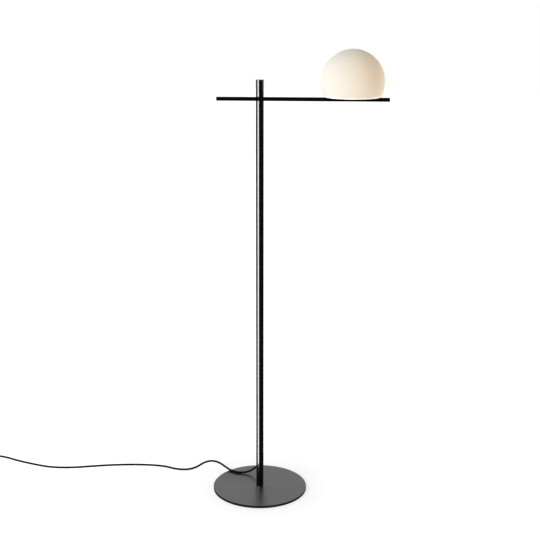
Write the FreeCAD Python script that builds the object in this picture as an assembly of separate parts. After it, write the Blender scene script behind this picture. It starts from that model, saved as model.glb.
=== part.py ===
"""Globe floor lamp, millimetres.

The origin is on the floor, on the axis of the post.  +Z is up, +X runs along the arm
towards the glass globe, and the arm lies on the front of the post, at -Y.
Each function below makes one group of pieces, and save() writes a piece to its own file.
"""
import FreeCAD, Part
import math
import os

V = FreeCAD.Vector
X, Y, Z = V(1, 0, 0), V(0, 1, 0), V(0, 0, 1)

# ---- foot ------------------------------------------------------------------------------
pad_diameter = 304.0            # soft pad under the plate, set back from its edge
pad_thickness = 2.0
plate_diameter = 320.0
plate_thickness = 8.0
plate_edge_round = 1.0
foot_screw_diameter = 10.0      # countersunk screw that the post is turned onto
foot_screw_head_diameter = 20.0
foot_screw_length = 25.0
foot_screw_hex = 6.0
foot_screw_hex_depth = 3.0
foot_insert_height = 22.0       # threaded plug in the lower end of the post

# ---- post ------------------------------------------------------------------------------
post_diameter = 25.0
post_wall = 1.5
post_height = 1399.0            # top of the cap above the floor
post_cap_flange = 1.5
post_cap_spigot = 10.0
post_cap_round = 0.5

# ---- arm -------------------------------------------------------------------------------
arm_side = 12.0                 # square tube
arm_wall = 1.2
arm_corner_round = 1.0
arm_below_post_top = 59.0       # arm's axis below the top of the post
arm_left = 136.5                # from the post's axis to the free end
arm_right = 409.0               # from the post's axis to the end past the globe
arm_seat_depth = 4.0            # notch in the front of the post that the arm sits in
arm_cap_flange = 1.0
arm_cap_spigot = 8.0
block_height = 40.0             # seat block inside the post, behind the arm
arm_screw_diameter = 5.0
arm_screw_head_diameter = 8.5
arm_screw_head_height = 5.0
arm_screw_offset = 3.6          # to the left of the post's axis
arm_screw_seat = 1.0            # where the washer lies, behind the post's axis
arm_screw_hex = 4.0
washer_thickness = 1.0
arm_insert_length = 22.0        # threaded bar inside the arm
arm_insert_grip = 8.3           # screw thread inside that bar
rear_cap_diameter = 11.6        # cover over the screw hole at the back of the post
rear_cap_height = 0.9

# ---- globe and its plate ---------------------------------------------------------------
globe_diameter = 200.0
globe_wall = 3.0
globe_cut_depth = 46.8          # flat rim of the glass below its centre
globe_rim_round = 1.0
globe_offset = 292.0            # globe's axis from the post's axis
globe_plate_set_back = 0.35     # edge of the plate inside the rim's outer edge
globe_plate_thickness = 2.0
globe_plate_round = 0.4
gasket_thickness = 1.2
gasket_set_back = 0.3           # edge of the gasket inside the plate's edge
gasket_inner_overlap = 1.45     # how far it reaches inside the rim's inner edge
plate_screw_diameter = 4.0
plate_screw_head_diameter = 8.0
plate_screw_spacing = 48.0
nut_strip_length = 62.0
nut_strip_thickness = 3.0
spring_count = 3
spring_width = 10.0
spring_thickness = 0.5
spring_foot = 15.0
spring_height = 13.0
rivet_diameter = 3.0
rivet_head_diameter = 5.4
rivet_head_height = 1.0
globe_lift_gap = 0.3            # springs to the inner edge of the rigid glass

# ---- lampholder and bulb ---------------------------------------------------------------
bracket_height = 9.0
bracket_width = 22.0
bracket_thickness = 1.0
bracket_platform = 20.0
bracket_foot = 9.0
bracket_screw_diameter = 3.0
bracket_screw_head_diameter = 5.6
bracket_screw_head_height = 1.8
holder_length = 24.0
holder_width = 15.0
holder_height = 18.0
holder_corner_round = 2.5
holder_recess_depth = 5.0
holder_screw_diameter = 2.5
holder_screw_head_diameter = 4.4
holder_screw_head_height = 1.4
holder_screw_spacing = 17.0
holder_screw_grip = 5.0
contact_thickness = 0.4
contact_height = 8.0
pin_spacing = 9.0               # two wire loops of the bulb
pin_wire_diameter = 0.8
pin_loop_width = 2.4
pin_length = 7.4
bulb_foot_length = 14.4
bulb_foot_width = 5.2
bulb_collar_diameter = 17.0
bulb_collar_height = 12.0
bulb_collar_bevel = 1.5
bulb_lens_diameter = 18.0
bulb_lens_height = 38.0
bulb_lens_wall = 1.0
bulb_core_diameter = 9.0
bulb_core_height = 27.0

# ---- wiring ----------------------------------------------------------------------------
cord_diameter = 7.0
cable_end_below_arm = 40.0      # where the sheath ends inside the post
cable_bend = 8.5
cable_before_axis = 2.0         # the sheath runs up in front of the post's axis
wire_diameter = 1.7
wire_spacing = 1.85
wire_offset = 4.0               # wires' way through the seat block, right of the post's axis
wire_before_axis = 2.0
wire_bend = 4.0
wire_hole_diameter = 9.0        # through nut strip, arm, plate and bracket
wire_into_holder = 4.0
earth_lug_right = 30.0          # earth terminal's screw, from the globe's axis
earth_lug_behind = 18.5
earth_lug_diameter = 8.0
earth_lug_thickness = 0.8
earth_barrel_length = 4.0
earth_screw_head_height = 2.5

# ---- cord exit -------------------------------------------------------------------------
cord_exit_height = 51.5
relief_flange_diameter = 15.0
relief_flange_thickness = 1.6
relief_neck_diameter = 10.8
relief_collar_diameter = 13.0
relief_inner_face = 6.6         # behind the post's axis
relief_root_diameter = 12.0
relief_tip_diameter = 8.8
relief_length = 24.0
relief_groove_count = 5
groove_depth = 0.7

# ---- foot switch on the cord -----------------------------------------------------------
switch_x = -1043.0
switch_y = 81.0
switch_length = 76.0
switch_width = 40.0
switch_base_height = 9.0
switch_cover_height = 13.0
switch_wall = 2.0
switch_corner_round = 12.0
switch_top_round = 5.0
sleeve_length = 16.0
button_diameter = 24.0
button_rise = 4.0               # button above the cover at rest
button_travel = 3.0
button_wall = 2.0
button_flange_width = 1.6
button_flange_thickness = 1.6
mechanism_length = 26.0
mechanism_width = 18.0
mechanism_height = 8.0
return_spring_diameter = 9.3
return_spring_wire = 0.9
return_spring_turns = 4
switch_screw_diameter = 2.6
switch_screw_head_diameter = 5.4
switch_screw_head_height = 1.6
switch_screw_across = 26.0
switch_screw_along = 50.0
switch_boss_diameter = 7.0

# ---- coil of spare cord, tie and plug --------------------------------------------------
coil_y = -36.0                  # centre of the coil
coil_outer_radius = 45.0        # centre line of the outermost turn
coil_turn_pitch = 8.2           # from one turn to the next, sideways
coil_layer_pitch = 7.6          # from one layer to the next, upwards
coil_layer_turns = 1.75
coil_climb_turns = 0.5
tie_thickness = 0.8
tie_width = 12.0
tie_clearance = 0.4
plug_gap = 75.0                 # from the coil's end to the plug
plug_x = -1050.0
plug_length = 46.0
plug_face_diameter = 37.0
plug_flat_width = 34.0
plug_neck_diameter = 10.0
plug_pin_diameter = 4.8
plug_pin_length = 19.0
plug_pin_spacing = 19.0
plug_earth_width = 8.0
plug_earth_thickness = 0.8
plug_earth_depth = 2.0
plug_socket_diameter = 5.0

# ---- clearances ------------------------------------------------------------------------
seat_clearance = 0.05           # between a piece and the seat it is pushed into
screw_clearance = 0.15          # a screw in a plain hole, all round
lift_clearance = 0.3            # between pieces that move on each other
wire_clearance = 0.2

# ---- places worked out from the sizes --------------------------------------------------
foot_top = pad_thickness + plate_thickness
post_inside = post_diameter / 2 - post_wall
tube_top = post_height - post_cap_flange
arm_axis_height = post_height - arm_below_post_top
arm_back = -(post_diameter / 2 - arm_seat_depth)
arm_axis_y = arm_back - arm_side / 2
arm_bottom = arm_axis_height - arm_side / 2
arm_top = arm_axis_height + arm_side / 2
arm_inside = arm_side - 2 * arm_wall
globe_plate_top = arm_top + globe_plate_thickness
rim_height = globe_plate_top + gasket_thickness
globe_centre_height = rim_height + globe_cut_depth
globe_axis = V(globe_offset, arm_axis_y, 0)
earth_lug = V(earth_lug_right, earth_lug_behind, 0)
rim_inside = math.sqrt((globe_diameter / 2 - globe_wall) ** 2 - globe_cut_depth ** 2)
rim_outside = math.sqrt((globe_diameter / 2) ** 2 - globe_cut_depth ** 2)
globe_plate_radius = rim_outside - globe_plate_set_back
holder_bottom = globe_plate_top + bracket_height
holder_top = holder_bottom + holder_height
relief_end = post_diameter / 2 + relief_flange_thickness + relief_length
cord_radius = cord_diameter / 2
cable_top = arm_axis_height - cable_end_below_arm
switch_top = switch_base_height + switch_cover_height
sleeve_end = switch_length / 2 + sleeve_length
coil_bottom = tie_thickness + 0.1 + cord_radius
coil_x = switch_x + coil_outer_radius
plug_axis_height = plug_flat_width / 2
coil_end_height = coil_bottom + coil_layer_pitch
coil_end_y = coil_y - cord_diameter
plug_back_y = coil_end_y - plug_gap

# Corner points of the cord's free stretches, as it lies: out of the back of the post,
# down onto the plate, over its edge in a low hump and away to the left along the floor.
cord_route = [
    V(0, relief_end, cord_exit_height),
    V(0, 51.5, cord_exit_height),
    V(-4, 65.5, 49),
    V(-11.5, 77, 43.3),
    V(-21.5, 84.5, 34.3),
    V(-33, 86.5, 24.5),
    V(-46, 87.5, 17.5),
    V(-62, 86.5, 14.2),
    V(-86, 88, 13.5),
    V(-109, 102, 13.8),
    V(-130, 125, 16.5),
    V(-144, 142, 18.2),
    V(-157, 155.5, 19.2),
    V(-170.5, 164.5, 19.5),
    V(-187.5, 168, 19),
    V(-204.5, 163.5, 16.8),
    V(-219, 152.5, 12.8),
    V(-233, 140.5, 8.2),
    V(-250.5, 130, 4.6),
    V(-276, 122.5, 3.5),
    V(-312, 127, 3.5),
    V(-354, 150, 3.5),
    V(-428, 158, 3.5),
    V(-520, 153, 3.5),
    V(-604, 137.5, 3.5),
    V(-682, 119.5, 3.5),
    V(-760, 118, 3.5),
    V(-830, 141.5, 3.5),
    V(-891, 167, 3.5),
    V(-950, 199, 3.5),
    V(-987, 207, 3.5),
    V(-1017, 198, 3.5),
    V(-1036, 175, 4.5),
    V(switch_x, 152, switch_base_height),
    V(switch_x, switch_y + sleeve_end, switch_base_height),
]
lead_route = [
    V(switch_x, switch_y - sleeve_end, switch_base_height),
    V(switch_x, 13, switch_base_height),
    V(-1044, -2, 6.6),
    V(switch_x, -16, coil_bottom),
    V(switch_x, coil_y + cord_diameter, coil_bottom),
]
plug_route = [
    V(switch_x, coil_end_y, coil_end_height),
    V(switch_x, -58, coil_end_height),
    V(-1046, -75, 11),
    V(-1050, -89, 14),
    V(plug_x, -103, plug_axis_height),
    V(plug_x, plug_back_y, plug_axis_height),
]

os.makedirs("parts", exist_ok=True)


# ---- helpers ---------------------------------------------------------------------------
def save(name, *solids):
    """Write one sub-part: a solid, or several alike ones together."""
    shape = solids[0] if len(solids) == 1 else Part.makeCompound(list(solids))
    shape.exportStep("parts/" + name + ".step")


def rod(radius, low, high, at=V(0, 0, 0)):
    """Upright round bar."""
    return Part.makeCylinder(radius, high - low, V(at.x, at.y, low), Z)


def rod_y(radius, front, back, x, z):
    """Round bar from front to back."""
    return Part.makeCylinder(radius, back - front, V(x, front, z), Y)


def cone(low_radius, high_radius, low, high, at=V(0, 0, 0)):
    return Part.makeCone(low_radius, high_radius, high - low, V(at.x, at.y, low), Z)


def box(low, high):
    return Part.makeBox(high.x - low.x, high.y - low.y, high.z - low.z, low)


def centred_box(length, width, low, high, at=V(0, 0, 0)):
    """Upright block centred on a point, length along X and width along Y."""
    return box(V(at.x - length / 2, at.y - width / 2, low), V(at.x + length / 2, at.y + width / 2, high))


def hexagon(across_flats, low, high, at=V(0, 0, 0)):
    corner = across_flats / math.sqrt(3)
    points = [V(at.x + corner * math.cos(a), at.y + corner * math.sin(a), low)
              for a in (math.radians(60 * k) for k in range(6))]
    return Part.Face(Part.makePolygon(points + points[:1])).extrude(V(0, 0, high - low))


def rounded(shape, radius, picks):
    """Fillet the edges that picks(edge) is true for."""
    return shape.makeFillet(radius, [edge for edge in shape.Edges if picks(edge)])


def bevelled(shape, width, picks):
    """Chamfer the edges that picks(edge) is true for."""
    return shape.makeChamfer(width, [edge for edge in shape.Edges if picks(edge)])


def along(edge, axis):
    """True for a straight edge parallel to an axis."""
    first, last = edge.Vertexes[0].Point, edge.Vertexes[-1].Point
    run = last - first
    return run.Length > 1e-6 and abs(abs(run.normalize().dot(axis)) - 1) < 1e-6


def at_height(edge, height):
    box_of_edge = edge.BoundBox
    return abs(box_of_edge.ZMin - height) < 1e-4 and abs(box_of_edge.ZMax - height) < 1e-4


def turned(profile, at, axis=Z):
    """Solid of revolution. The profile is a list of (radius, distance along the axis)."""
    points = [V(radius, 0, distance) for radius, distance in profile]
    face = Part.Face(Part.makePolygon(points + points[:1]))
    solid = face.revolve(V(0, 0, 0), Z, 360)
    solid.Placement = FreeCAD.Placement(at, FreeCAD.Rotation(Z, axis))
    return solid


def around(shape, count, at):
    """Copies of a shape, evenly turned about an upright axis."""
    copies = []
    for k in range(count):
        copy = shape.copy()
        copy.rotate(at, Z, 360 * k / count)
        copies.append(copy)
    return copies


def mirrored_pair(shape, at, axis):
    return [shape, shape.mirror(at, axis)]


def grooved_taper(root, tip, length, grooves, depth, start, bore):
    """Profile of a tapered sleeve with rings cut into its outer half, for turned()."""
    groove = length / (2 * grooves + 3)
    profile = [(bore, start), (root, start)]
    for k in range(grooves):
        near = start + length - (2 * (grooves - k) + 0.5) * groove
        far = near + groove
        wide = root + (tip - root) * (near - start) / length
        narrow = root + (tip - root) * (far - start) / length
        profile += [(wide, near), (wide - depth, near), (narrow - depth, far), (narrow, far)]
    return profile + [(tip, start + length), (bore, start + length)]


# ---- tubes along a route ---------------------------------------------------------------
def turn_at(before, corner, after):
    """Unit directions into and out of a corner, and the angle between them."""
    inward = (corner - before).normalize()
    outward = (after - corner).normalize()
    return inward, outward, inward.getAngle(outward)


def largest_bends(route):
    """Radius at each corner: 0.45 of the shorter run over the tangent of half the turn."""
    radii = []
    for before, corner, after in zip(route, route[1:], route[2:]):
        shorter = min((corner - before).Length, (after - corner).Length)
        radii.append(0.45 * shorter / math.tan(turn_at(before, corner, after)[2] / 2))
    return radii


def route_wire(route, radii):
    """Straight runs joined by tangent arcs."""
    edges = []
    here = route[0]
    for before, corner, after, radius in zip(route, route[1:], route[2:], radii):
        inward, outward, turn = turn_at(before, corner, after)
        setback = radius * math.tan(turn / 2)
        start = corner - inward * setback
        end = corner + outward * setback
        middle = corner + (outward - inward).normalize() * (radius / math.cos(turn / 2) - radius)
        edges.append(Part.LineSegment(here, start).toShape())
        edges.append(Part.Arc(start, middle, end).toShape())
        here = end
    edges.append(Part.LineSegment(here, route[-1]).toShape())
    return Part.Wire(edges)


def tube(wire, radius, start, direction, name):
    """Round tube along a wire, checked against its section times its length."""
    section = Part.Wire(Part.Circle(start, direction, radius).toShape())
    solid = wire.makePipeShell([section], True, False)
    expected = math.pi * radius ** 2 * wire.Length
    print(f"{name}: length {wire.Length:.0f} mm, volume / (section x length) {solid.Volume / expected:.4f}")
    return solid


def routed_tube(route, radii, radius, name):
    direction = route[1] - route[0]
    return tube(route_wire(route, radii), radius, route[0], direction, name)


def arc_from(start, tangent, end):
    """Circular arc that leaves start along tangent and reaches end."""
    chord = end - start
    reach = chord.Length
    rise = tangent - chord * (tangent.dot(chord) / reach ** 2)
    lean = tangent.getAngle(chord)
    middle = (start + end) * 0.5 + rise.normalize() * (reach / 2 * math.tan(lean / 2))
    return Part.Arc(start, middle, end).toShape()


def biarc(start, start_tangent, end, end_tangent):
    """Two arcs that join two points and are tangent to each other and to both directions."""
    span = end - start
    both = start_tangent + end_tangent
    bend = 2 * (1 - start_tangent.dot(end_tangent))
    forward = span.dot(both)
    handle = (math.sqrt(forward ** 2 + bend * span.dot(span)) - forward) / bend
    joint = (start + start_tangent * handle + end - end_tangent * handle) * 0.5
    joint_tangent = (end - end_tangent * handle - start - start_tangent * handle).normalize()
    return [arc_from(start, start_tangent, joint), arc_from(joint, joint_tangent, end)]


def wound_wire(place, turns, steps_per_turn, straight):
    """Wire through place(turn) from turn 0 on, as biarcs, with a straight end at each side."""
    small = 1e-4
    knots = [turns * k / (turns * steps_per_turn) for k in range(round(turns * steps_per_turn) + 1)]
    points = [place(t) for t in knots]
    tangents = [(place(t + small) - place(t - small)).normalize() for t in knots]
    tangents[0].z = tangents[-1].z = 0
    tangents[0].normalize()
    tangents[-1].normalize()
    edges = []
    if straight:
        edges.append(Part.LineSegment(points[0] - tangents[0] * straight, points[0]).toShape())
    for a, b, p, q in zip(points, points[1:], tangents, tangents[1:]):
        edges += biarc(a, p, b, q)
    if straight:
        edges.append(Part.LineSegment(points[-1], points[-1] + tangents[-1] * straight).toShape())
    return Part.Wire(edges), points[0] - tangents[0] * straight, tangents[0]


def least_self_gap(wire, diameter, name):
    """Print the least gap between turns, measured on points along the wire."""
    spacing = diameter / 4
    points = wire.discretize(Distance=spacing)
    apart = int(2.5 * diameter / spacing)
    least = min((points[i] - points[j]).Length
                for i in range(len(points)) for j in range(i + apart, len(points)))
    print(f"{name}: least gap to itself {least - diameter:.2f} mm")


# ---- foot ------------------------------------------------------------------------------
def make_foot():
    pad = rod(pad_diameter / 2, 0, pad_thickness)
    save("base_pad", pad)

    shank = foot_screw_diameter / 2
    head = foot_screw_head_diameter / 2
    cone_depth = head - shank
    plate = rod(plate_diameter / 2, pad_thickness, foot_top)
    plate = rounded(plate, plate_edge_round, lambda e: at_height(e, foot_top))
    plate = plate.cut(rod(shank + screw_clearance, pad_thickness, foot_top))
    plate = plate.cut(cone(head, shank, pad_thickness, pad_thickness + cone_depth))
    save("base_plate", plate)

    screw = cone(head, shank, pad_thickness, pad_thickness + cone_depth)
    screw = screw.fuse(rod(shank, pad_thickness + cone_depth, pad_thickness + foot_screw_length))
    screw = screw.cut(hexagon(foot_screw_hex, pad_thickness, pad_thickness + foot_screw_hex_depth))
    save("foot_screw", screw.removeSplitter())

    insert = rod(post_inside - seat_clearance, foot_top, foot_top + foot_insert_height)
    insert = insert.cut(rod(shank + seat_clearance, foot_top, foot_top + foot_insert_height))
    save("post_foot_insert", insert)


# ---- post ------------------------------------------------------------------------------
def make_post():
    outside = post_diameter / 2
    tube_body = rod(outside, foot_top, tube_top).cut(rod(post_inside, foot_top, tube_top))
    notch = box(V(-post_diameter, -post_diameter, arm_bottom - seat_clearance),
                V(post_diameter, arm_back, arm_top + seat_clearance))
    cord_hole = rod_y(relief_neck_diameter / 2 + seat_clearance, 0, post_diameter, 0, cord_exit_height)
    screw_hole = rod_y(arm_screw_head_diameter / 2 + screw_clearance, 0, post_diameter,
                       -arm_screw_offset, arm_axis_height)
    save("post_tube", tube_body.cut(notch).cut(cord_hole).cut(screw_hole))

    cap = rod(outside, tube_top, post_height)
    cap = rounded(cap, post_cap_round, lambda e: at_height(e, post_height))
    cap = cap.fuse(rod(post_inside - seat_clearance, tube_top - post_cap_spigot, tube_top))
    save("post_cap", cap.removeSplitter())


def make_arm_joint():
    """Seat block in the post, the screw that draws the arm onto it, and its cover."""
    low = arm_axis_height - block_height / 2
    high = arm_axis_height + block_height / 2
    head = arm_screw_head_diameter / 2
    shank = arm_screw_diameter / 2
    screw_x = -arm_screw_offset
    block = rod(post_inside - seat_clearance, low, high)
    block = block.cut(box(V(-post_diameter, -post_diameter, low), V(post_diameter, arm_back, high)))
    block = block.cut(rod_y(shank + screw_clearance, arm_back, post_diameter, screw_x, arm_axis_height))
    block = block.cut(rod_y(head + screw_clearance, arm_screw_seat, post_diameter, screw_x, arm_axis_height))
    half_slot = wire_diameter / 2 + wire_clearance
    way = wire_spacing + half_slot
    channel_front = wire_before_axis + wire_bend - wire_diameter / 2
    channel = box(V(wire_offset - way, -channel_front, low),
                  V(wire_offset + way, half_slot - wire_before_axis, arm_axis_height + half_slot))
    block = block.cut(channel).cut(wire_slot(arm_back, -wire_before_axis))
    save("arm_seat_block", block)

    washer = rod_y(head, arm_screw_seat, arm_screw_seat + washer_thickness, screw_x, arm_axis_height)
    washer = washer.cut(rod_y(shank + screw_clearance, arm_screw_seat, arm_screw_seat + washer_thickness,
                              screw_x, arm_axis_height))
    save("arm_washer", washer)

    head_front = arm_screw_seat + washer_thickness
    head_back = head_front + arm_screw_head_height
    tip = arm_back - arm_wall - arm_insert_grip
    screw = rod_y(shank, tip, head_front, screw_x, arm_axis_height)
    screw = screw.fuse(rod_y(head, head_front, head_back, screw_x, arm_axis_height))
    socket = hexagon(arm_screw_hex, 0, arm_screw_head_height / 2)
    socket.Placement = FreeCAD.Placement(V(screw_x, head_back - arm_screw_head_height / 2, arm_axis_height),
                                         FreeCAD.Rotation(Z, Y))
    save("arm_screw", screw.cut(socket).removeSplitter())

    cover_radius = rear_cap_diameter / 2
    cover = rod_y(cover_radius, 0, post_diameter, screw_x, arm_axis_height)
    cover = cover.common(rod(post_diameter / 2 + rear_cap_height, arm_bottom, arm_top)
                         .cut(rod(post_diameter / 2, arm_bottom, arm_top)))
    stem = rod_y(head + screw_clearance - seat_clearance, head_back + lift_clearance, post_diameter,
                 screw_x, arm_axis_height)
    stem = stem.common(rod(post_diameter / 2, arm_bottom, arm_top))
    save("rear_screw_cover", cover.fuse(stem).removeSplitter())


def wire_slot(front, back):
    """Flat slot for the three wires side by side, from front to back."""
    half = wire_diameter / 2 + wire_clearance
    return box(V(wire_offset - wire_spacing - half, front, arm_axis_height - half),
               V(wire_offset + wire_spacing + half, back, arm_axis_height + half))


# ---- arm -------------------------------------------------------------------------------
def square_bar(side, left, right, corner):
    bar = box(V(left, arm_axis_y - side / 2, arm_axis_height - side / 2),
              V(right, arm_axis_y + side / 2, arm_axis_height + side / 2))
    return rounded(bar, corner, lambda e: along(e, X))


def make_arm():
    left, right = -arm_left + arm_cap_flange, arm_right - arm_cap_flange
    inner_round = max(arm_corner_round - arm_wall, 0.3)
    body = square_bar(arm_side, left, right, arm_corner_round)
    body = body.cut(square_bar(arm_inside, left, right, inner_round))
    body = body.cut(rod_y(arm_screw_diameter / 2 + screw_clearance, arm_axis_y, 0,
                          -arm_screw_offset, arm_axis_height))
    body = body.cut(wire_slot(arm_axis_y, 0))
    body = body.cut(rod(wire_hole_diameter / 2, arm_axis_height, arm_top, globe_axis))
    for side in (-1, 1):
        place = globe_axis + X * (side * plate_screw_spacing / 2)
        body = body.cut(rod(plate_screw_diameter / 2 + screw_clearance, arm_axis_height, arm_top, place))
    save("arm_tube", body)

    spigot = arm_inside - 2 * seat_clearance
    for name, end, way in (("arm_cap_left", left, -1), ("arm_cap_right", right, 1)):
        flange_ends = sorted((end, end + way * arm_cap_flange))
        spigot_ends = sorted((end, end - way * arm_cap_spigot))
        cap = square_bar(arm_side, *flange_ends, arm_corner_round)
        cap = cap.fuse(square_bar(spigot, *spigot_ends, inner_round))
        save(name, cap.removeSplitter())

    insert = square_bar(spigot, -arm_insert_length, 0, inner_round)
    insert = insert.cut(rod_y(arm_screw_diameter / 2 + seat_clearance, arm_axis_y - arm_side, 0,
                              -arm_screw_offset, arm_axis_height))
    save("arm_insert", insert)

    strip_top = arm_top - arm_wall
    strip = centred_box(nut_strip_length, spigot, strip_top - nut_strip_thickness, strip_top, globe_axis)
    strip = rounded(strip, inner_round + seat_clearance, lambda e: along(e, X) and at_height(e, strip_top))
    strip = strip.cut(rod(wire_hole_diameter / 2, arm_axis_height, strip_top, globe_axis))
    for side in (-1, 1):
        place = globe_axis + X * (side * plate_screw_spacing / 2)
        strip = strip.cut(rod(plate_screw_diameter / 2 + seat_clearance, arm_axis_height, strip_top, place))
    save("nut_strip", strip)


# ---- globe plate, springs and glass ----------------------------------------------------
def spring_profile():
    """Middle line of one leaf spring: foot on the plate, knee at the glass, lead-in on top."""
    base = globe_plate_top + spring_thickness / 2
    knee = rim_inside - globe_lift_gap - spring_thickness / 2
    bend = knee - 3.6
    return [(bend - spring_foot, base), (bend, base), (knee, base + 3.0),
            (knee - 2.4, base + spring_height - 2.0), (knee - 4.6, base + spring_height)]


def spring_strip():
    """The strip's two faces lie half a thickness to each side of its middle line."""
    line = spring_profile()
    sides = ([], [])
    for k, (radius, height) in enumerate(line):
        before = line[max(k - 1, 0)]
        after = line[min(k + 1, len(line) - 1)]
        first = math.atan2(height - before[1], radius - before[0]) if k else None
        second = math.atan2(after[1] - height, after[0] - radius) if k < len(line) - 1 else None
        first = second if first is None else first
        second = first if second is None else second
        lean = (first + second) / 2
        reach = spring_thickness / 2 / math.cos((second - first) / 2)
        for side, way in zip(sides, (1, -1)):
            side.append(V(radius - way * reach * math.sin(lean), 0, height + way * reach * math.cos(lean)))
    outline = sides[0] + sides[1][::-1]
    strip = Part.Face(Part.makePolygon(outline + outline[:1])).extrude(V(0, spring_width, 0))
    strip.translate(V(globe_axis.x, globe_axis.y - spring_width / 2, 0))
    return strip


def make_globe():
    plate = rod(globe_plate_radius, arm_top, globe_plate_top, globe_axis)
    plate = rounded(plate, globe_plate_round, lambda e: at_height(e, globe_plate_top) or at_height(e, arm_top))
    plate = plate.cut(rod(wire_hole_diameter / 2, arm_top, globe_plate_top, globe_axis))

    shank = plate_screw_diameter / 2
    head = plate_screw_head_diameter / 2
    cone_low = globe_plate_top - (head - shank)
    screws = []
    for side in (-1, 1):
        place = globe_axis + X * (side * plate_screw_spacing / 2)
        plate = plate.cut(cone(shank, head, cone_low, globe_plate_top, place))
        plate = plate.cut(rod(shank + screw_clearance, arm_top, globe_plate_top, place))
        screw = cone(shank, head, cone_low, globe_plate_top, place)
        screw = screw.fuse(rod(shank, arm_top - arm_wall - nut_strip_thickness, cone_low, place))
        screws.append(screw.cut(hexagon(shank * 1.25, cone_low + 0.4, globe_plate_top, place)).removeSplitter())
    save("plate_screws", *screws)

    foot_middle = spring_profile()[1][0] - spring_foot / 2
    rivet_place = globe_axis + X * foot_middle
    rivet_hole = rod(rivet_diameter / 2 + seat_clearance, arm_top, globe_plate_top + spring_thickness, rivet_place)
    for hole in around(rivet_hole, spring_count, globe_axis):
        plate = plate.cut(hole)
    springs = around(spring_strip().cut(rivet_hole), spring_count, globe_axis)
    rivet = rod(rivet_diameter / 2, arm_top, globe_plate_top + spring_thickness, rivet_place)
    rivet_top = globe_plate_top + spring_thickness
    rivet_head = rod(rivet_head_diameter / 2, rivet_top, rivet_top + rivet_head_height, rivet_place)
    rivet_head = bevelled(rivet_head, rivet_head_height * 0.6, lambda e: at_height(e, rivet_top + rivet_head_height))
    save("globe_springs", *springs)
    save("spring_rivets", *around(rivet.fuse(rivet_head).removeSplitter(), spring_count, globe_axis))

    for _, place in bracket_screw_places():
        plate = plate.cut(rod(bracket_screw_diameter / 2 + seat_clearance, arm_top, globe_plate_top, place))
    plate = plate.cut(rod(plate_screw_diameter / 2 + seat_clearance, arm_top, globe_plate_top,
                          globe_axis + earth_lug))
    save("globe_plate", plate)

    gasket = rod(globe_plate_radius - gasket_set_back, globe_plate_top, rim_height, globe_axis)
    gasket = gasket.cut(rod(rim_inside - gasket_inner_overlap, globe_plate_top, rim_height, globe_axis))
    save("globe_gasket", gasket)

    centre = globe_axis + Z * globe_centre_height
    radius = globe_diameter / 2
    above_rim = centred_box(globe_diameter + 2, globe_diameter + 2, rim_height,
                            globe_centre_height + globe_diameter, globe_axis)
    glass = Part.makeSphere(radius, centre).cut(Part.makeSphere(radius - globe_wall, centre)).common(above_rim)
    glass = rounded(glass, globe_rim_round, lambda e: at_height(e, rim_height))
    save("glass_globe", glass)


# ---- lampholder, its bracket and the bulb ----------------------------------------------
def bracket_screw_places():
    """Centres of the bracket's two screws, from the lampholder's middle outwards."""
    reach = bracket_platform / 2 + bracket_foot / 2
    return [(side, globe_axis + Y * (side * reach)) for side in (-1, 1)]


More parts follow.
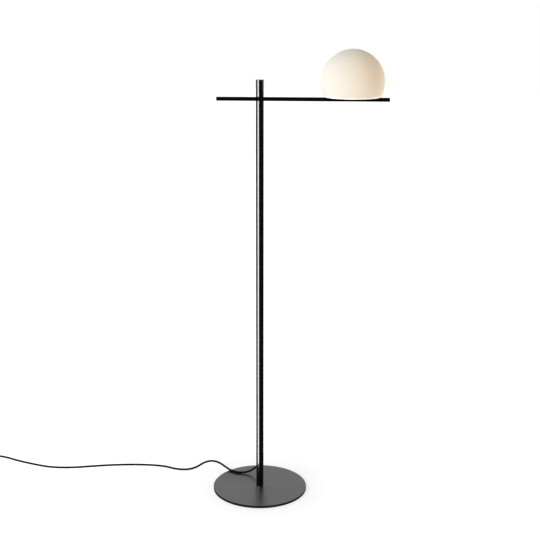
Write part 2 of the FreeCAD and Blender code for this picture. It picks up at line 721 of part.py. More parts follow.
def make_lampholder():
    low = globe_plate_top
    thick = bracket_thickness
    half = bracket_platform / 2
    outer = half + bracket_foot
    outline = [(-outer, low), (-half + thick, low), (-half + thick, holder_bottom - thick),
               (half - thick, holder_bottom - thick), (half - thick, low), (outer, low),
               (outer, low + thick), (half, low + thick), (half, holder_bottom), (-half, holder_bottom),
               (-half, low + thick), (-outer, low + thick)]
    points = [V(globe_axis.x - bracket_width / 2, globe_axis.y + y, z) for y, z in outline]
    bracket = Part.Face(Part.makePolygon(points + points[:1])).extrude(V(bracket_width, 0, 0))
    bracket = bracket.cut(rod(wire_hole_diameter / 2, low, holder_bottom, globe_axis))

    screws = []
    shank = bracket_screw_diameter / 2
    for _, place in bracket_screw_places():
        bracket = bracket.cut(rod(shank + screw_clearance, low, low + thick, place))
        screw = rod(shank, arm_top, low + thick, place)
        head_top = low + thick + bracket_screw_head_height
        head = rod(bracket_screw_head_diameter / 2, low + thick, head_top, place)
        head = bevelled(head, bracket_screw_head_height * 0.4, lambda e: at_height(e, head_top))
        screws.append(screw.fuse(head).removeSplitter())
    save("bracket_screws", *screws)

    body = centred_box(holder_length, holder_width, holder_bottom, holder_top, globe_axis)
    body = rounded(body, holder_corner_round, lambda e: along(e, Z))
    recess_floor = holder_top - holder_recess_depth
    recess = centred_box(bulb_foot_length + 2 * lift_clearance, bulb_foot_width + 2 * lift_clearance,
                         recess_floor, holder_top, globe_axis)
    body = body.cut(recess)
    slot_floor = recess_floor - pin_length - 1.0
    contacts = []
    for side in (-1, 1):
        place = globe_axis + X * (side * pin_spacing / 2)
        slot_half = pin_loop_width / 2 + pin_wire_diameter / 2 + lift_clearance
        depth_half = pin_wire_diameter / 2 + 2 * lift_clearance
        slot = box(V(place.x - slot_half, place.y - depth_half, slot_floor),
                   V(place.x + slot_half, place.y + depth_half + contact_thickness, recess_floor))
        body = body.cut(slot)
        contact = box(V(place.x - slot_half + seat_clearance, place.y + depth_half, slot_floor),
                      V(place.x + slot_half - seat_clearance, place.y + depth_half + contact_thickness
                        - seat_clearance, slot_floor + contact_height))
        contacts.append(contact)
        wire_end = rod(wire_diameter / 2 + wire_clearance, holder_bottom, holder_bottom + wire_into_holder,
                       globe_axis + Y * (side * wire_spacing))
        body = body.cut(wire_end)
    save("lampholder_contacts", *contacts)

    holder_screws = []
    shank = holder_screw_diameter / 2
    for side in (-1, 1):
        place = globe_axis + X * (side * holder_screw_spacing / 2)
        bracket = bracket.cut(rod(shank + screw_clearance, low, holder_bottom, place))
        body = body.cut(rod(shank + seat_clearance, holder_bottom, holder_bottom + holder_screw_grip, place))
        underside = holder_bottom - thick
        screw = rod(shank, underside, holder_bottom + holder_screw_grip, place)
        head = rod(holder_screw_head_diameter / 2, underside - holder_screw_head_height, underside, place)
        holder_screws.append(screw.fuse(head).removeSplitter())
    save("lampholder_screws", *holder_screws)
    save("lampholder_bracket", bracket)
    save("lampholder", body)


def pin_loop(place, top):
    """One of the bulb's two wire loops: two legs and the half ring that joins them below."""
    wire = pin_wire_diameter / 2
    half = pin_loop_width / 2
    bottom = top - pin_length + half + wire
    left, right = place - X * half, place + X * half
    path = Part.Wire([
        Part.LineSegment(V(left.x, left.y, top), V(left.x, left.y, bottom)).toShape(),
        Part.Arc(V(left.x, left.y, bottom), V(place.x, place.y, bottom - half),
                 V(right.x, right.y, bottom)).toShape(),
        Part.LineSegment(V(right.x, right.y, bottom), V(right.x, right.y, top)).toShape(),
    ])
    section = Part.Wire(Part.Circle(V(left.x, left.y, top), Z, wire).toShape())
    return path.makePipeShell([section], True, False)


def make_bulb():
    foot_bottom = holder_top - holder_recess_depth + lift_clearance
    collar_top = holder_top + bulb_collar_height
    foot = centred_box(bulb_foot_length, bulb_foot_width, foot_bottom, holder_top, globe_axis)
    foot = rounded(foot, bulb_foot_width * 0.4, lambda e: along(e, Z))
    collar = rod(bulb_collar_diameter / 2, holder_top, collar_top, globe_axis)
    collar = bevelled(collar, bulb_collar_bevel, lambda e: at_height(e, holder_top))
    base = foot.fuse(collar).removeSplitter()
    save("bulb_base", base)

    loops = [pin_loop(globe_axis + X * (side * pin_spacing / 2), foot_bottom) for side in (-1, 1)]
    save("bulb_pins", *loops)

    def capsule(radius, low, high):
        shape = rod(radius, low, high - radius, globe_axis)
        return shape.fuse(Part.makeSphere(radius, globe_axis + Z * (high - radius)))

    radius = bulb_lens_diameter / 2
    lens_top = collar_top + bulb_lens_height
    room_below = centred_box(4 * radius, 4 * radius, collar_top - 4 * radius, collar_top, globe_axis)
    lens = capsule(radius, collar_top, lens_top)
    lens = lens.cut(capsule(radius - bulb_lens_wall, collar_top, lens_top - bulb_lens_wall)).cut(room_below)
    save("bulb_lens", lens.removeSplitter())
    save("bulb_core", hexagon(bulb_core_diameter * 0.866, collar_top, collar_top + bulb_core_height, globe_axis))


# ---- wiring inside the lamp ------------------------------------------------------------
def make_wiring():
    turn_y = -cable_before_axis
    cable_route = [V(0, relief_end, cord_exit_height), V(0, turn_y, cord_exit_height), V(0, turn_y, cable_top)]
    save("inner_cable", routed_tube(cable_route, [cable_bend], cord_radius, "inner_cable"))

    shift_start = cable_top + 5
    shift_end = cable_top + 14
    lug_x = globe_axis.x + earth_lug.x - earth_lug_diameter / 2 - earth_barrel_length
    lug_y = globe_axis.y + earth_lug.y
    lug_axis = globe_plate_top + wire_diameter / 2 + 0.3
    over_plate = lug_axis + 2.0
    for name, step in (("wire_live", -1), ("wire_earth", 0), ("wire_neutral", 1)):
        side = step * wire_spacing
        route = [
            V(side, turn_y, cable_top),
            V(side, turn_y, shift_start),
            V(wire_offset + side, -wire_before_axis, shift_end),
            V(wire_offset + side, -wire_before_axis, arm_axis_height),
            V(wire_offset + side, arm_axis_y + side, arm_axis_height),
            V(globe_axis.x, arm_axis_y + side, arm_axis_height),
        ]
        bends = [wire_bend, wire_bend, wire_bend, wire_bend - side, wire_bend - 1]
        if step:
            route.append(V(globe_axis.x, arm_axis_y + side, holder_bottom + wire_into_holder))
        else:
            route += [V(globe_axis.x, arm_axis_y, over_plate), V(globe_axis.x + 8, arm_axis_y, over_plate),
                      V(lug_x - 6, lug_y, lug_axis), V(lug_x, lug_y, lug_axis)]
            bends += [wire_bend - 1, wire_bend - 1, wire_bend - 1]
        save(name, routed_tube(route, bends, wire_diameter / 2, name))

    lug_centre = globe_axis + earth_lug
    ring_top = globe_plate_top + earth_lug_thickness
    ring = rod(earth_lug_diameter / 2, globe_plate_top, ring_top, lug_centre)
    barrel = Part.makeCylinder(lug_axis - globe_plate_top, earth_barrel_length, V(lug_x, lug_y, lug_axis), X)
    tongue = box(V(lug_x, lug_y - 1.5, globe_plate_top), V(lug_centre.x, lug_y + 1.5, ring_top))
    lug = ring.fuse([barrel, tongue]).cut(rod(plate_screw_diameter / 2 + seat_clearance, globe_plate_top,
                                              globe_plate_top + 5, lug_centre))
    save("earth_lug", lug.removeSplitter())
    shank = rod(plate_screw_diameter / 2, arm_top, ring_top, lug_centre)
    head_top = ring_top + earth_screw_head_height
    head = rod(plate_screw_head_diameter / 2 - 0.5, ring_top, head_top, lug_centre)
    head = bevelled(head, earth_screw_head_height * 0.4, lambda e: at_height(e, head_top))
    save("earth_screw", shank.fuse(head).removeSplitter())


# ---- where the cord leaves the post ----------------------------------------------------
def make_strain_relief():
    surface = post_diameter / 2
    bore = cord_radius + seat_clearance
    taper_start = surface + relief_flange_thickness
    taper = turned(grooved_taper(relief_root_diameter / 2, relief_tip_diameter / 2, relief_length,
                                 relief_groove_count, groove_depth, taper_start, bore),
                   V(0, 0, cord_exit_height), Y)
    post_solid = rod(surface, foot_top, tube_top)
    flange = rod_y(relief_flange_diameter / 2, relief_inner_face, taper_start, 0, cord_exit_height).cut(post_solid)
    neck = rod_y(relief_neck_diameter / 2, relief_inner_face, taper_start, 0, cord_exit_height)
    collar_back = math.sqrt(post_inside ** 2 - (relief_collar_diameter / 2) ** 2) - seat_clearance
    collar = rod_y(relief_collar_diameter / 2, relief_inner_face, collar_back, 0, cord_exit_height)
    inside = neck.fuse([flange, collar]).cut(rod_y(bore, 0, taper_start, 0, cord_exit_height))
    save("strain_relief", inside.fuse(taper).removeSplitter())


# ---- foot switch -----------------------------------------------------------------------
def switch_outline(inset, low, high):
    body = centred_box(switch_width - 2 * inset, switch_length - 2 * inset, low, high, V(switch_x, switch_y, 0))
    return rounded(body, switch_corner_round - inset, lambda e: along(e, Z))


def switch_screw_places():
    middle = V(switch_x, switch_y, 0)
    return [middle + V(side * switch_screw_across / 2, -side * switch_screw_along / 2, 0) for side in (-1, 1)]


def make_switch():
    middle = V(switch_x, switch_y, 0)
    split = switch_base_height
    neck_radius = cord_radius + 1.5
    boss = switch_boss_diameter / 2
    screw = switch_screw_diameter / 2
    screw_head = switch_screw_head_diameter / 2
    sink = switch_screw_head_height + 0.4
    ends = rod_y(neck_radius + seat_clearance, switch_y - switch_length, switch_y + switch_length, switch_x, split)

    base = rounded(switch_outline(0, 0, split), 1.2, lambda e: at_height(e, 0))
    base = base.cut(switch_outline(switch_wall, switch_wall, split))
    cover = rounded(switch_outline(0, split, switch_top), switch_top_round, lambda e: at_height(e, switch_top))
    inner = switch_outline(switch_wall, split, switch_top - switch_wall)
    inner = rounded(inner, switch_top_round - switch_wall, lambda e: at_height(e, switch_top - switch_wall))
    cover = cover.cut(inner)
    screws = []
    for place in switch_screw_places():
        base = base.fuse(rod(boss, switch_wall / 2, split, place))
        base = base.cut(rod(screw + screw_clearance, 0, split, place))
        base = base.cut(rod(screw_head + screw_clearance, 0, sink, place))
        cover_boss = rod(boss, split, switch_top - switch_wall / 2, place)
        cover = cover.fuse(cover_boss.cut(rod(screw + seat_clearance, split, switch_top - 2 * switch_wall, place)))
        head = rod(screw_head, sink - switch_screw_head_height, sink, place)
        screws.append(head.fuse(rod(screw, sink, switch_top - 2 * switch_wall - 1, place)).removeSplitter())
    base = base.cut(ends)
    cover = cover.cut(ends).cut(rod(button_diameter / 2 + lift_clearance, split, switch_top, middle))
    save("switch_base", base.removeSplitter())
    save("switch_cover", cover.removeSplitter())
    save("switch_screws", *screws)

    button_top = switch_top + button_rise
    flange_top = switch_top - switch_wall - lift_clearance
    flange_low = flange_top - button_flange_thickness
    ceiling = button_top - button_wall - 1
    radius = button_diameter / 2
    profile = [(0, ceiling), (radius - button_wall, ceiling), (radius - button_wall, flange_low),
               (radius + button_flange_width, flange_low), (radius + button_flange_width, flange_top),
               (radius, flange_top), (radius, button_top - 1.6), (radius - 0.6, button_top - 0.8),
               (radius - 1.6, button_top - 0.5), (radius * 0.62, button_top - 0.2),
               (radius * 0.62, button_top - 0.7), (radius * 0.54, button_top - 0.7),
               (radius * 0.54, button_top - 0.1), (0, button_top)]
    save("switch_button", turned(profile, middle))

    mechanism_top = switch_wall + mechanism_height
    mechanism = centred_box(mechanism_width, mechanism_length, switch_wall, mechanism_top, middle)
    seat_radius = return_spring_diameter / 2 - 2 * return_spring_wire
    mechanism = mechanism.fuse(rod(seat_radius, mechanism_top, mechanism_top + 2, middle))
    save("switch_mechanism", mechanism.removeSplitter())

    coil_radius = (return_spring_diameter - return_spring_wire) / 2
    spring_low = mechanism_top + return_spring_wire / 2
    spring_rise = ceiling - mechanism_top - return_spring_wire - 2 * seat_clearance

    def on_spring(turn):
        angle = 2 * math.pi * turn
        height = spring_low + seat_clearance + spring_rise * turn / return_spring_turns
        return middle + V(coil_radius * math.cos(angle), coil_radius * math.sin(angle), height)

    wire, start, direction = wound_wire(on_spring, return_spring_turns, 2, 0)
    least_self_gap(wire, return_spring_wire, "switch_spring")
    save("switch_spring", tube(wire, return_spring_wire / 2, start, direction, "switch_spring"))

    bore = cord_radius + seat_clearance
    end = switch_length / 2
    collar = neck_radius + 1.5
    profile = [(bore, end - switch_wall - 2), (collar, end - switch_wall - 2), (collar, end - switch_wall),
               (neck_radius, end - switch_wall), (neck_radius, end)]
    profile += grooved_taper(collar, cord_radius + 0.9, sleeve_length, 3, groove_depth, end, bore)[1:]
    sleeve = turned(profile, V(switch_x, switch_y, split), Y)
    save("switch_sleeves", *mirrored_pair(sleeve, middle, Y))
    stub = rod_y(cord_radius, switch_y + mechanism_length / 2, switch_y + sleeve_end, switch_x, split)
    save("switch_leads", *mirrored_pair(stub, middle, Y))


# ---- cord, coil, tie and plug ----------------------------------------------------------
def make_cord():
    for name, route in (("mains_cord", cord_route), ("coil_lead", lead_route), ("plug_lead", plug_route)):
        radii = largest_bends(route)
        print(name, "bend radii", [round(r) for r in radii])
        save(name, routed_tube(route, radii, cord_radius, name))

    middle = V(coil_x, coil_y, 0)
    drop = coil_turn_pitch * coil_layer_turns
    climb_end = coil_layer_turns + coil_climb_turns
    turns = 2 * coil_layer_turns + coil_climb_turns

    def on_coil(turn):
        """In along the lower layer, up in half a turn, and out along the upper layer."""
        if turn <= coil_layer_turns:
            radius, height = coil_outer_radius - coil_turn_pitch * turn, 0
        elif turn < climb_end:
            share = (turn - coil_layer_turns) / coil_climb_turns
            dip = coil_turn_pitch * coil_climb_turns * share * (1 - share)
            radius = coil_outer_radius - drop - dip
            height = coil_layer_pitch * share * share * (3 - 2 * share)
        else:
            radius = coil_outer_radius - drop + coil_turn_pitch * (turn - climb_end)
            height = coil_layer_pitch
        angle = math.pi + 2 * math.pi * turn
        return middle + V(radius * math.cos(angle), radius * math.sin(angle), coil_bottom + height)

    wire, start, direction = wound_wire(on_coil, turns, 4, 0)
    lead_in = Part.LineSegment(V(switch_x, coil_y + cord_diameter, coil_bottom), start).toShape()
    last = on_coil(turns)
    lead_out = Part.LineSegment(last, V(switch_x, coil_end_y, coil_end_height)).toShape()
    whole = Part.Wire([lead_in] + wire.Edges + [lead_out])
    least_self_gap(whole, cord_diameter, "cord_coil")
    save("cord_coil", tube(whole, cord_radius, V(switch_x, coil_y + cord_diameter, coil_bottom), -Y, "cord_coil"))

    outer = on_coil(0.5).x + cord_radius + tie_clearance
    inner_turn = on_coil(1.5).x
    curve_depth = tie_width ** 2 / (8 * (inner_turn - coil_x))
    inner = inner_turn - cord_radius - curve_depth - tie_clearance
    high = coil_end_height + cord_radius + tie_clearance
    strap = box(V(inner - tie_thickness, coil_y - tie_width / 2, 0),
                V(outer + tie_thickness, coil_y + tie_width / 2, high + tie_thickness))
    strap = rounded(strap, 3.0, lambda e: along(e, Y))
    strap = strap.cut(rounded(box(V(inner, coil_y - tie_width, tie_thickness), V(outer, coil_y + tie_width, high)),
                              3.0 - tie_thickness, lambda e: along(e, Y)))
    save("cord_tie", strap)


def make_plug():
    at = V(plug_x, plug_back_y, plug_axis_height)
    face = plug_face_diameter / 2
    neck = plug_neck_diameter / 2
    profile = grooved_taper(neck + 0.8, neck, plug_length * 0.35, 3, groove_depth, 0, 0)
    outline = [(radius, plug_length * 0.35 - distance) for radius, distance in profile[::-1]]
    outline = outline[:-1] + [(neck + 4, plug_length * 0.45), (face - 3.5, plug_length * 0.6),
                              (face, plug_length * 0.75), (face, plug_length - 1), (face - 1, plug_length),
                              (0, plug_length)]
    body = turned(outline, at, -Y)
    half = plug_flat_width / 2
    front = plug_back_y - plug_length
    for side in (-1, 1):
        flat = box(V(plug_x - face, front - 1, half), V(plug_x + face, plug_back_y, plug_face_diameter))
        groove = box(V(plug_x - plug_earth_width / 2 - seat_clearance, front - 1, half - plug_earth_depth),
                     V(plug_x + plug_earth_width / 2 + seat_clearance, front + plug_length * 0.35, half + 1))
        for cutter in (flat, groove):
            cutter.translate(V(0, 0, plug_axis_height))
            if side < 0:
                cutter = cutter.mirror(at, Z)
            body = body.cut(cutter)
    socket = rod_y(plug_socket_diameter / 2, front, front + 12, plug_x, plug_axis_height - 10)
    save("plug_body", body.cut(socket))

    pins = []
    for side in (-1, 1):
        pin = Part.makeCylinder(plug_pin_diameter / 2, plug_pin_length,
                                V(plug_x + side * plug_pin_spacing / 2, front, plug_axis_height), -Y)
        tip = front - plug_pin_length
        pins.append(rounded(pin, plug_pin_diameter * 0.3, lambda e: e.BoundBox.YMax < tip + 1e-4))
    save("plug_pins", *pins)

    floor_of_groove = half - plug_earth_depth
    strip = box(V(plug_x - plug_earth_width / 2, front, plug_axis_height + floor_of_groove),
                V(plug_x + plug_earth_width / 2, front + plug_length * 0.3,
                  plug_axis_height + floor_of_groove + plug_earth_thickness))
    save("plug_earth_strips", *mirrored_pair(strip, at, Z))


make_foot()
make_post()
make_arm_joint()
make_arm()
make_globe()
make_lampholder()
make_bulb()
make_wiring()
make_strain_relief()
make_switch()
make_cord()
make_plug()
print(len(os.listdir("parts")), "sub-parts written")
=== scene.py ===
# %% [markdown]
# # A globe floor lamp, from bare solids to a studio picture
#
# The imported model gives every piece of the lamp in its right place, but all in one plain look.
# In this lesson we put a camera and lights around it, draw its cord, remodel the pieces whose
# shape the eye rests on, and give each finish its own nodes.  All lengths are in metres: the
# origin is on the floor under the post, +Z is up, +X runs along the arm towards the globe, and
# the camera looks from the -Y side.

# %% Load the frame
import bpy
import math
from mathutils import Matrix, Quaternion, Vector


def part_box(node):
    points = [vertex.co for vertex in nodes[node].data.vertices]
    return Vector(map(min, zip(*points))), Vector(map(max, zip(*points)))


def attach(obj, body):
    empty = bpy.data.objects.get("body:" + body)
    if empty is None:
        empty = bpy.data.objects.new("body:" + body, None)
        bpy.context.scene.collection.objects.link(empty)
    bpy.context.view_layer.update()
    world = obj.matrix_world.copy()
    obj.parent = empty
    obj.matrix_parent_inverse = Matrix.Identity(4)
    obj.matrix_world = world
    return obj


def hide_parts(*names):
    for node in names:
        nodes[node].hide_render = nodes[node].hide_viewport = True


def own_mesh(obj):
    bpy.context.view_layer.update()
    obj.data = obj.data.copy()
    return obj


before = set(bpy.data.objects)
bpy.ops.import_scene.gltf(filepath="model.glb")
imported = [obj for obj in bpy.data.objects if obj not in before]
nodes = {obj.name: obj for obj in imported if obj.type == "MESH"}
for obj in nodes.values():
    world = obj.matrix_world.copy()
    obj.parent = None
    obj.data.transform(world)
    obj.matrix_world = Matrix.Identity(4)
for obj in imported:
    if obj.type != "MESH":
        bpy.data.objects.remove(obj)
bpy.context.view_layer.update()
print("pieces in the frame:", len(nodes))

# %% [markdown]
# ## The camera
#
# A camera can be placed by eye, or worked out from things in the picture whose true shape is
# known.  Here the round foot, the upright post and the level arm fix it: the foot's ellipse gives
# the height, the post's lean gives the tilt, and the arm's slope gives the turn.  The lens is a
# long one, so the lamp hardly narrows towards its foot.

# %% Add the camera
camera_data = bpy.data.cameras.new("studio_camera")
camera_data.sensor_width = 36.0
camera_data.lens = 72.355
camera_data.clip_end = 200.0
camera = bpy.data.objects.new("studio_camera", camera_data)
bpy.context.scene.collection.objects.link(camera)
camera.location = (0.185126, -3.450636, 1.680814)
view_direction = Vector((-0.042490, 0.966711, -0.252316))
camera_roll = Quaternion((0.0, 0.0, 1.0), math.radians(0.127))
camera.rotation_euler = (view_direction.to_track_quat("-Z", "Y") @ camera_roll).to_euler()
bpy.context.scene.camera = camera
print("camera stands", round(camera.location.length, 2), "m from the lamp's foot")

# %% [markdown]
# ## The cord
#
# A cord is a fixed length of something springy, so it is drawn as one smooth curve and not as
# bent pipe.  A NURBS curve suits it: its points pull the line like weights on a thread, and the
# line never kinks.  The thickness sits in each point's radius, with a bevel depth of one metre
# to multiply it by, so that the curve's box is as slim as the cord.  The first length leaves the
# back of the post, comes down onto the foot, passes the foot's edge in a low hump and runs along
# the floor to the foot switch.

# %% A helper that draws a cord through control points
cord_diameter = 0.007


def draw_cord(name, points, diameter=cord_diameter):
    """Makes a round cord or wire on a NURBS spline whose control points are given in metres."""
    curve = bpy.data.curves.new(name, "CURVE")
    curve.dimensions = "3D"
    curve.resolution_u = 6
    curve.bevel_depth = 1.0
    curve.bevel_resolution = 5
    curve.use_fill_caps = True
    spline = curve.splines.new("NURBS")
    spline.points.add(len(points) - 1)
    for point, place in zip(spline.points, points):
        point.co = (*place, 1.0)
        point.radius = diameter / 2
    spline.order_u = 3
    spline.use_endpoint_u = True
    cord = bpy.data.objects.new(name, curve)
    bpy.context.scene.collection.objects.link(cord)
    return cord


# %% The length from the post to the foot switch
lamp_cord_points = [
    (0.0, 0.0381, 0.0515), (0.0, 0.0515, 0.0515), (-0.004, 0.0655, 0.049),
    (-0.0115, 0.077, 0.0433), (-0.0215, 0.0845, 0.0343), (-0.033, 0.0865, 0.0245),
    (-0.046, 0.0875, 0.0175), (-0.062, 0.0865, 0.0142), (-0.086, 0.088, 0.0135),
    (-0.109, 0.102, 0.0138), (-0.130, 0.125, 0.0165), (-0.144, 0.142, 0.0182),
    (-0.157, 0.1555, 0.0192), (-0.1705, 0.1645, 0.0195), (-0.1875, 0.168, 0.019),
    (-0.2045, 0.1635, 0.0168), (-0.219, 0.1525, 0.0128), (-0.233, 0.1405, 0.0082),
    (-0.2505, 0.130, 0.0046), (-0.276, 0.1225, 0.0035), (-0.312, 0.127, 0.0035),
    (-0.354, 0.150, 0.0035), (-0.428, 0.158, 0.0035), (-0.520, 0.153, 0.0035),
    (-0.604, 0.1375, 0.0035), (-0.682, 0.1195, 0.0035), (-0.760, 0.118, 0.0035),
    (-0.830, 0.1415, 0.0035), (-0.891, 0.167, 0.0035), (-0.950, 0.199, 0.0035),
    (-0.987, 0.207, 0.0035), (-1.017, 0.198, 0.0035), (-1.036, 0.175, 0.0045),
    (-1.043, 0.152, 0.009), (-1.043, 0.135, 0.009),
]
lamp_cord = draw_cord("lamp_cord", lamp_cord_points)
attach(lamp_cord, "lamp")
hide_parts("mains_cord")
print("control points from post to switch:", len(lamp_cord_points))

# %% [markdown]
# ## The spare length
#
# Past the switch the cord is wound up and tied, as it comes out of its box, and ends in the
# plug.  Each turn lies beside the last one, then the cord climbs and winds out again on top.
# The turns are more points of the same spline, so they come from a formula: an angle and a
# radius for each point.  A quadratic spline cuts inside its points, so the radius is made a
# little larger to bring the cord itself onto the turn.

# %% The coil's points
switch_line = -1.043            # x of the switch and of the cord past it
outer_radius = 0.045
turn_pitch = 0.0082             # from one turn to the next, sideways
layer_pitch = 0.0076            # from the lower turns to the upper ones
layer_turns = 1.75
climb_turns = 0.5
lowest_height = 0.0044
coil_centre = (switch_line + outer_radius, -0.036)
inner_radius = outer_radius - turn_pitch * layer_turns
points_per_turn = 18
inward_pull = math.cos(math.pi / points_per_turn)


def coil_point(turn):
    """Gives the point of the coil after that many turns, counted from its outer end."""
    if turn <= layer_turns:
        radius = outer_radius - turn_pitch * turn
        height = 0.0
    elif turn <= layer_turns + climb_turns:
        share = (turn - layer_turns) / climb_turns
        radius = inner_radius - turn_pitch / 2 * share * (1 - share)
        height = layer_pitch * share * share * (3 - 2 * share)
    else:
        radius = inner_radius + turn_pitch * (turn - layer_turns - climb_turns)
        height = layer_pitch
    angle = math.pi + 2 * math.pi * turn
    reach = radius / inward_pull
    return (coil_centre[0] + reach * math.cos(angle),
            coil_centre[1] + reach * math.sin(angle), lowest_height + height)


coil_turns = 2 * layer_turns + climb_turns
coil_steps = int(coil_turns * points_per_turn)
coil_points = [coil_point(coil_turns * step / coil_steps) for step in range(coil_steps + 1)]
print("points in the coil:", len(coil_points))

# %% The length from the switch through the coil to the plug
lead_points = [(-1.043, 0.027, 0.009), (-1.043, 0.013, 0.009), (-1.044, -0.002, 0.0066),
               (-1.043, -0.016, 0.0044), (-1.043, -0.029, 0.0044)]
plug_points = [(-1.043, -0.043, 0.012), (-1.043, -0.058, 0.012), (-1.046, -0.075, 0.011),
               (-1.050, -0.089, 0.014), (-1.050, -0.103, 0.017), (-1.050, -0.118, 0.017)]
plug_cord = draw_cord("plug_cord", lead_points + coil_points + plug_points)
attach(plug_cord, "lamp")
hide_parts("coil_lead", "cord_coil", "plug_lead")

# %% [markdown]
# ## The room
#
# The picture is a cut-out on white: there is no horizon, and the shadows are faint.  A pale floor
# that also glows gives that, because the glow lifts the shadows.  It glows most away from the
# lamp and less near it, which paints a little grey shade in the ring around the foot.  Glossy rays
# see the floor as dark, a painted reflection.  The sky is white where the camera sees it.  In
# reflections it is bright behind the lamp and dark on the camera's side, which is how a black
# post stays black in a white room.

# %% A helper that clears the selection
def clear_selection():
    """Leaves edit mode and selects nothing, because operators act on all that is selected."""
    if bpy.context.object and bpy.context.object.mode != "OBJECT":
        bpy.ops.object.mode_set(mode="OBJECT")
    bpy.ops.object.select_all(action="DESELECT")


# %% The floor
floor_width, floor_depth, floor_front = 20.0, 16.0, -0.75
clear_selection()
bpy.ops.mesh.primitive_grid_add(x_subdivisions=24, y_subdivisions=24, size=1.0,
                                location=(0.0, floor_front + floor_depth / 2, 0.0))
floor = bpy.context.object
floor.name = "studio_floor"
floor.scale = (floor_width, floor_depth, 1.0)
bpy.ops.object.transform_apply(location=True, rotation=True, scale=True)
print("floor runs from y", floor_front, "to", floor_front + floor_depth)


# %% A helper that starts a material
def new_material(name, colour, roughness, metallic=0.0):
    """Makes a Principled material and gives back the material, its node tree and the shader."""
    material = bpy.data.materials.new(name)
    material.use_nodes = True
    tree = material.node_tree
    shader = tree.nodes["Principled BSDF"]
    shader.inputs["Base Color"].default_value = (*colour, 1.0)
    shader.inputs["Roughness"].default_value = roughness
    shader.inputs["Metallic"].default_value = metallic
    return material, tree, shader


def paint(piece, *materials):
    """Puts materials in a piece's slots, in place of what it had."""
    piece.data.materials.clear()
    for material in materials:
        piece.data.materials.append(material)


# %% The floor's paper
# Painted shade: the floor glows less near the foot, so a grey ring stands for the lamp's faint shadow
# there.
painted_shade_until, white_from = 0.15, 0.50
near_glow, far_glow = 0.70, 1.02
paper, tree, shader = new_material("floor_paper", (0.35, 0.35, 0.35), 0.9)
shader.inputs["Specular IOR Level"].default_value = 0.1
shader.inputs["Emission Color"].default_value = (1.0, 1.0, 1.0, 1.0)
coordinates = tree.nodes.new("ShaderNodeTexCoord")
distance = tree.nodes.new("ShaderNodeVectorMath")
distance.operation = "LENGTH"
glow = tree.nodes.new("ShaderNodeMapRange")
glow.interpolation_type = "SMOOTHSTEP"
glow.inputs["From Min"].default_value = painted_shade_until
glow.inputs["From Max"].default_value = white_from
glow.inputs["To Min"].default_value = near_glow
glow.inputs["To Max"].default_value = far_glow
tree.links.new(coordinates.outputs["Object"], distance.inputs[0])
tree.links.new(distance.outputs["Value"], glow.inputs["Value"])
tree.links.new(glow.outputs["Result"], shader.inputs["Emission Strength"])
# Painted reflection: glossy rays see the floor as near-black, not as the white paper it is.
painted_dark_reflection = tree.nodes.new("ShaderNodeBsdfDiffuse")
painted_dark_reflection.inputs["Color"].default_value = (0.02, 0.02, 0.02, 1.0)
path = tree.nodes.new("ShaderNodeLightPath")
either = tree.nodes.new("ShaderNodeMixShader")
tree.links.new(path.outputs["Is Glossy Ray"], either.inputs["Fac"])
tree.links.new(shader.outputs["BSDF"], either.inputs[1])
tree.links.new(painted_dark_reflection.outputs["BSDF"], either.inputs[2])
tree.links.new(either.outputs["Shader"], tree.nodes["Material Output"].inputs["Surface"])
paint(floor, paper)

# %% The world
world = bpy.data.worlds.new("studio_world")
bpy.context.scene.world = world
world.use_nodes = True
tree = world.node_tree
tree.nodes.clear()
output = tree.nodes.new("ShaderNodeOutputWorld")
seen = tree.nodes.new("ShaderNodeBackground")
seen.inputs["Color"].default_value = (1.0, 1.0, 1.0, 1.0)
seen.inputs["Strength"].default_value = 1.0
around = tree.nodes.new("ShaderNodeBackground")
around.inputs["Color"].default_value = (1.0, 1.0, 1.0, 1.0)
place = tree.nodes.new("ShaderNodeTexCoord")
axes = tree.nodes.new("ShaderNodeSeparateXYZ")
fade = tree.nodes.new("ShaderNodeMapRange")
fade.interpolation_type = "SMOOTHSTEP"
fade.inputs["From Min"].default_value = -0.2
fade.inputs["From Max"].default_value = 0.7
fade.inputs["To Min"].default_value = 0.02
fade.inputs["To Max"].default_value = 1.0
path = tree.nodes.new("ShaderNodeLightPath")
either = tree.nodes.new("ShaderNodeMixShader")
tree.links.new(place.outputs["Generated"], axes.inputs["Vector"])
tree.links.new(axes.outputs["Y"], fade.inputs["Value"])
tree.links.new(fade.outputs["Result"], around.inputs["Strength"])
tree.links.new(path.outputs["Is Camera Ray"], either.inputs["Fac"])
tree.links.new(around.outputs["Background"], either.inputs[1])
tree.links.new(seen.outputs["Background"], either.inputs[2])
tree.links.new(either.outputs["Shader"], output.inputs["Surface"])
bpy.context.scene.view_settings.view_transform = "Standard"

# %% [markdown]
# ## The lights
#
# One large soft light stands at the front left, as the bright side of the glass shows.  The
# white line down the post runs almost to the foot, though the mirror image of a far light would
# end much higher, so a tall strip close to the post draws that line instead.  It is linked to the
# post alone, and only gloss can see it.  A weak warm light from the right keeps the shadow side
# of the glass cream, and a broad one from the front evens the rest.  The warm one leaves out the
# floor, which would turn cream too.


# %% A helper that aims an area light
def soft_light(name, place, target, size, watts, colour=(1.0, 1.0, 1.0)):
    """Adds a rectangular area light at a place, turned to a target."""
    data = bpy.data.lights.new(name, "AREA")
    data.shape = "RECTANGLE"
    data.size, data.size_y = size
    data.energy = watts
    data.color = colour
    light = bpy.data.objects.new(name, data)
    bpy.context.scene.collection.objects.link(light)
    light.location = place
    aim = Vector(target) - Vector(place)
    light.rotation_euler = aim.to_track_quat("-Z", "Y").to_euler()
    return light


